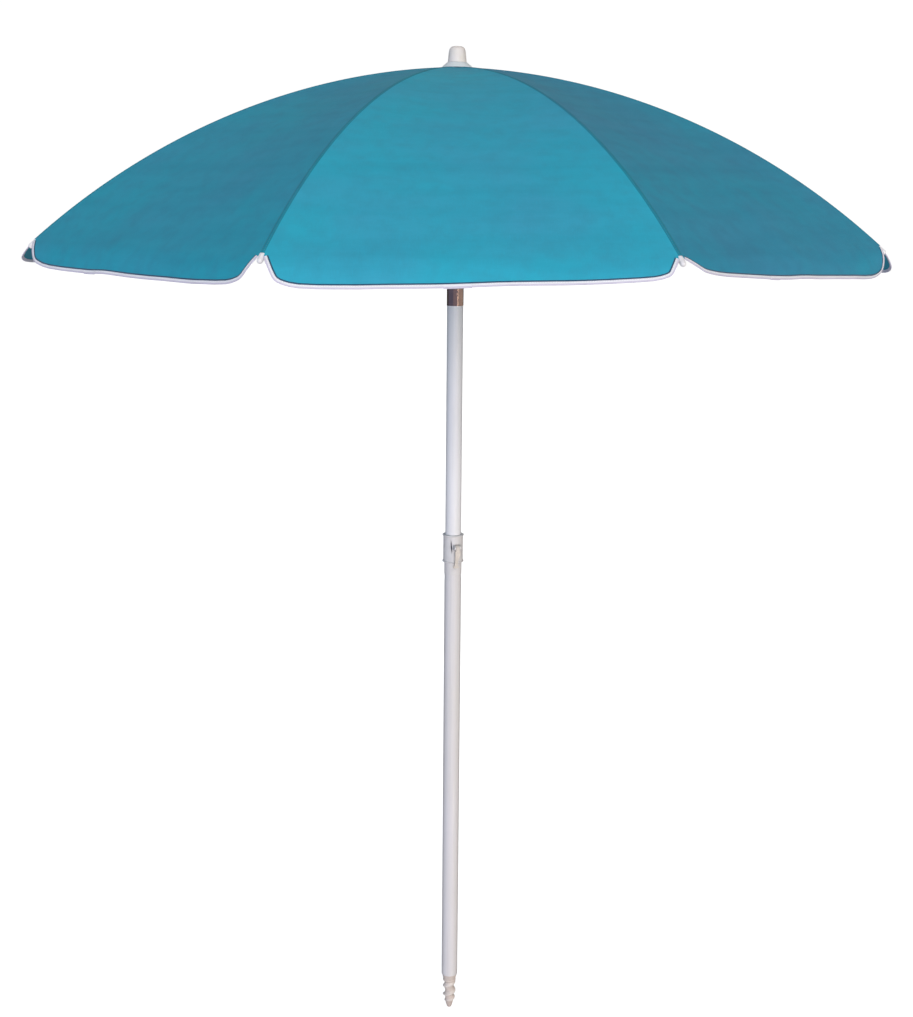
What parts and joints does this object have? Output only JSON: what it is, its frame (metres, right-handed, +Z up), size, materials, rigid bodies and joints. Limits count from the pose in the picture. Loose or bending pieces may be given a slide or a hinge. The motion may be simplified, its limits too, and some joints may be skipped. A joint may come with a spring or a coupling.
{
  "type": "beach umbrella",
  "caption": "Beach umbrella with an octagonal blue cloth canopy on folding ribs, a telescoping white pole with a lever clamp and tilt joint, and an auger spike.",
  "frame": {"origin": "the tip of the ground spike, on the pole's axis", "axes": "+Z up along the pole towards the finial; -Y to the front, where the clamp lever hangs; +X to the right seen from the front"},
  "size_m": [1.4376, 1.4376, 1.8909],
  "materials": {
    "white_paint": "satin white enamel",
    "white_plastic": "moulded, slightly glossy",
    "dark_casing": "dark bronze plating",
    "steel": "zinc plated",
    "blue_cloth": "plain woven cloth",
    "white_binding": "woven edge tape"
  },
  "bodies": {
    "lower_pole": {"ground_spike": "white_plastic", "lower_tube": "white_paint", "clamp_collar": "white_plastic", "clamp_pin": "steel"},
    "clamp_pad": {"clamp_pad": "steel"},
    "clamp_lever": {"clamp_lever": "white_plastic"},
    "pole_slider": {"guide_bush": "white_plastic"},
    "upper_pole": {"upper_tube": "white_paint", "tilt_casing": "dark_casing", "tilt_pin": "steel"},
    "mast": {"tilt_tongue": "dark_casing", "mast_tube": "white_paint", "mast_rivets": "steel", "crown": "white_plastic", "crown_pins": "steel", "finial_stud": "steel", "finial_base": "white_plastic", "finial_cap": "white_plastic", "catch_rivet": "steel"},
    "tilt_button": {"tilt_button": "steel"},
    "runner": {"runner": "white_plastic", "runner_pins": "steel"},
    "runner_catch": {"runner_catch": "steel"},
    "rib_1": {"rib_1": "steel", "rib_tip_1": "white_plastic", "canopy_panel_1": "blue_cloth"},
    "strut_1": {"strut_1": "steel"},
    "rib_2": {"rib_2": "steel", "rib_tip_2": "white_plastic", "canopy_panel_2": "blue_cloth"},
    "strut_2": {"strut_2": "steel"},
    "rib_3": {"rib_3": "steel", "rib_tip_3": "white_plastic", "canopy_panel_3": "blue_cloth"},
    "strut_3": {"strut_3": "steel"},
    "rib_4": {"rib_4": "steel", "rib_tip_4": "white_plastic", "canopy_panel_4": "blue_cloth"},
    "strut_4": {"strut_4": "steel"},
    "rib_5": {"rib_5": "steel", "rib_tip_5": "white_plastic", "canopy_panel_5": "blue_cloth"},
    "strut_5": {"strut_5": "steel"},
    "rib_6": {"rib_6": "steel", "rib_tip_6": "white_plastic", "canopy_panel_6": "blue_cloth"},
    "strut_6": {"strut_6": "steel"},
    "rib_7": {"rib_7": "steel", "rib_tip_7": "white_plastic", "canopy_panel_7": "blue_cloth"},
    "strut_7": {"strut_7": "steel"},
    "rib_8": {"rib_8": "steel", "rib_tip_8": "white_plastic", "canopy_panel_8": "blue_cloth"},
    "strut_8": {"strut_8": "steel"}
  },
  "joints": [
    {"name": "pole_slide", "type": "slide", "parent": "lower_pole", "child": "pole_slider", "axis": [0, 0, -1], "range_m": [-0.12, 0.4]},
    {"name": "pole_swivel", "type": "hinge", "parent": "pole_slider", "child": "upper_pole", "pos_m": [0, 0, 0.72], "axis": [0, 0, 1], "range_deg": [-180, 180]},
    {"name": "lever_flip", "type": "hinge", "parent": "lower_pole", "child": "clamp_lever", "pos_m": [0.00703, -0.02451, 0.978], "axis": [-0.9613, -0.2756, 0], "range_deg": [0, 110]},
    {"name": "pad_release", "type": "slide", "parent": "lower_pole", "child": "clamp_pad", "axis": [0.2756, -0.9613, 0], "range_m": [0, 0.0003]},
    {"name": "tilt", "type": "hinge", "parent": "upper_pole", "child": "mast", "pos_m": [0, 0, 1.556], "axis": [1, 0, 0], "range_deg": [0, 40], "deforming": ["tilt_button"]},
    {"name": "tilt_button_press", "type": "slide", "parent": "mast", "child": "tilt_button", "axis": [1, 0, 0], "range_m": [0, 0.0038], "stiffness_N_per_m": 900},
    {"name": "runner_slide", "type": "slide", "parent": "mast", "child": "runner", "axis": [0, 0, 1], "range_m": [-0.43342, 0], "deforming": ["canopy_panel_1", "canopy_panel_2", "canopy_panel_3", "canopy_panel_4", "canopy_panel_5", "canopy_panel_6", "canopy_panel_7", "canopy_panel_8", "runner_catch", "tilt_button"]},
    {"name": "catch_press", "type": "slide", "parent": "mast", "child": "runner_catch", "axis": [0, 1, 0], "range_m": [0, 0.004], "stiffness_N_per_m": 900},
    {"name": "rib_1_fold", "type": "hinge", "parent": "mast", "child": "rib_1", "pos_m": [0.02402, 0.00995, 1.843], "axis": [-0.3827, 0.9239, 0], "range_deg": [0, 67.01]},
    {"name": "strut_1_fold", "type": "hinge", "parent": "rib_1", "child": "strut_1", "pos_m": [0.30691, 0.12713, 1.77672], "axis": [-0.3827, 0.9239, 0], "range_deg": [-123.04, 0]},
    {"name": "rib_2_fold", "type": "hinge", "parent": "mast", "child": "rib_2", "pos_m": [0.00995, 0.02402, 1.843], "axis": [-0.9239, 0.3827, 0], "range_deg": [0, 67.01]},
    {"name": "strut_2_fold", "type": "hinge", "parent": "rib_2", "child": "strut_2", "pos_m": [0.12713, 0.30691, 1.77672], "axis": [-0.9239, 0.3827, 0], "range_deg": [-123.04, 0]},
    {"name": "rib_3_fold", "type": "hinge", "parent": "mast", "child": "rib_3", "pos_m": [-0.00995, 0.02402, 1.843], "axis": [-0.9239, -0.3827, 0], "range_deg": [0, 67.01]},
    {"name": "strut_3_fold", "type": "hinge", "parent": "rib_3", "child": "strut_3", "pos_m": [-0.12713, 0.30691, 1.77672], "axis": [-0.9239, -0.3827, 0], "range_deg": [-123.04, 0]},
    {"name": "rib_4_fold", "type": "hinge", "parent": "mast", "child": "rib_4", "pos_m": [-0.02402, 0.00995, 1.843], "axis": [-0.3827, -0.9239, 0], "range_deg": [0, 67.01]},
    {"name": "strut_4_fold", "type": "hinge", "parent": "rib_4", "child": "strut_4", "pos_m": [-0.30691, 0.12713, 1.77672], "axis": [-0.3827, -0.9239, 0], "range_deg": [-123.04, 0]},
    {"name": "rib_5_fold", "type": "hinge", "parent": "mast", "child": "rib_5", "pos_m": [-0.02402, -0.00995, 1.843], "axis": [0.3827, -0.9239, 0], "range_deg": [0, 67.01]},
    {"name": "strut_5_fold", "type": "hinge", "parent": "rib_5", "child": "strut_5", "pos_m": [-0.30691, -0.12713, 1.77672], "axis": [0.3827, -0.9239, 0], "range_deg": [-123.04, 0]},
    {"name": "rib_6_fold", "type": "hinge", "parent": "mast", "child": "rib_6", "pos_m": [-0.00995, -0.02402, 1.843], "axis": [0.9239, -0.3827, 0], "range_deg": [0, 67.01]},
    {"name": "strut_6_fold", "type": "hinge", "parent": "rib_6", "child": "strut_6", "pos_m": [-0.12713, -0.30691, 1.77672], "axis": [0.9239, -0.3827, 0], "range_deg": [-123.04, 0]},
    {"name": "rib_7_fold", "type": "hinge", "parent": "mast", "child": "rib_7", "pos_m": [0.00995, -0.02402, 1.843], "axis": [0.9239, 0.3827, 0], "range_deg": [0, 67.01]},
    {"name": "strut_7_fold", "type": "hinge", "parent": "rib_7", "child": "strut_7", "pos_m": [0.12713, -0.30691, 1.77672], "axis": [0.9239, 0.3827, 0], "range_deg": [-123.04, 0]},
    {"name": "rib_8_fold", "type": "hinge", "parent": "mast", "child": "rib_8", "pos_m": [0.02402, -0.00995, 1.843], "axis": [0.3827, 0.9239, 0], "range_deg": [0, 67.01]},
    {"name": "strut_8_fold", "type": "hinge", "parent": "rib_8", "child": "strut_8", "pos_m": [0.30691, -0.12713, 1.77672], "axis": [0.3827, 0.9239, 0], "range_deg": [-123.04, 0]}
  ],
  "couplings": [
    {"joint": "pad_release", "follows": "lever_flip", "m_per_rad": 0.00015626},
    {"joint": "rib_1_fold", "follows": "runner_slide", "rad_per_m": -2.698},
    {"joint": "strut_1_fold", "follows": "runner_slide", "rad_per_m": 4.954},
    {"joint": "rib_2_fold", "follows": "runner_slide", "rad_per_m": -2.698},
    {"joint": "strut_2_fold", "follows": "runner_slide", "rad_per_m": 4.954},
    {"joint": "rib_3_fold", "follows": "runner_slide", "rad_per_m": -2.698},
    {"joint": "strut_3_fold", "follows": "runner_slide", "rad_per_m": 4.954},
    {"joint": "rib_4_fold", "follows": "runner_slide", "rad_per_m": -2.698},
    {"joint": "strut_4_fold", "follows": "runner_slide", "rad_per_m": 4.954},
    {"joint": "rib_5_fold", "follows": "runner_slide", "rad_per_m": -2.698},
    {"joint": "strut_5_fold", "follows": "runner_slide", "rad_per_m": 4.954},
    {"joint": "rib_6_fold", "follows": "runner_slide", "rad_per_m": -2.698},
    {"joint": "strut_6_fold", "follows": "runner_slide", "rad_per_m": 4.954},
    {"joint": "rib_7_fold", "follows": "runner_slide", "rad_per_m": -2.698},
    {"joint": "strut_7_fold", "follows": "runner_slide", "rad_per_m": 4.954},
    {"joint": "rib_8_fold", "follows": "runner_slide", "rad_per_m": -2.698},
    {"joint": "strut_8_fold", "follows": "runner_slide", "rad_per_m": 4.954}
  ]
}
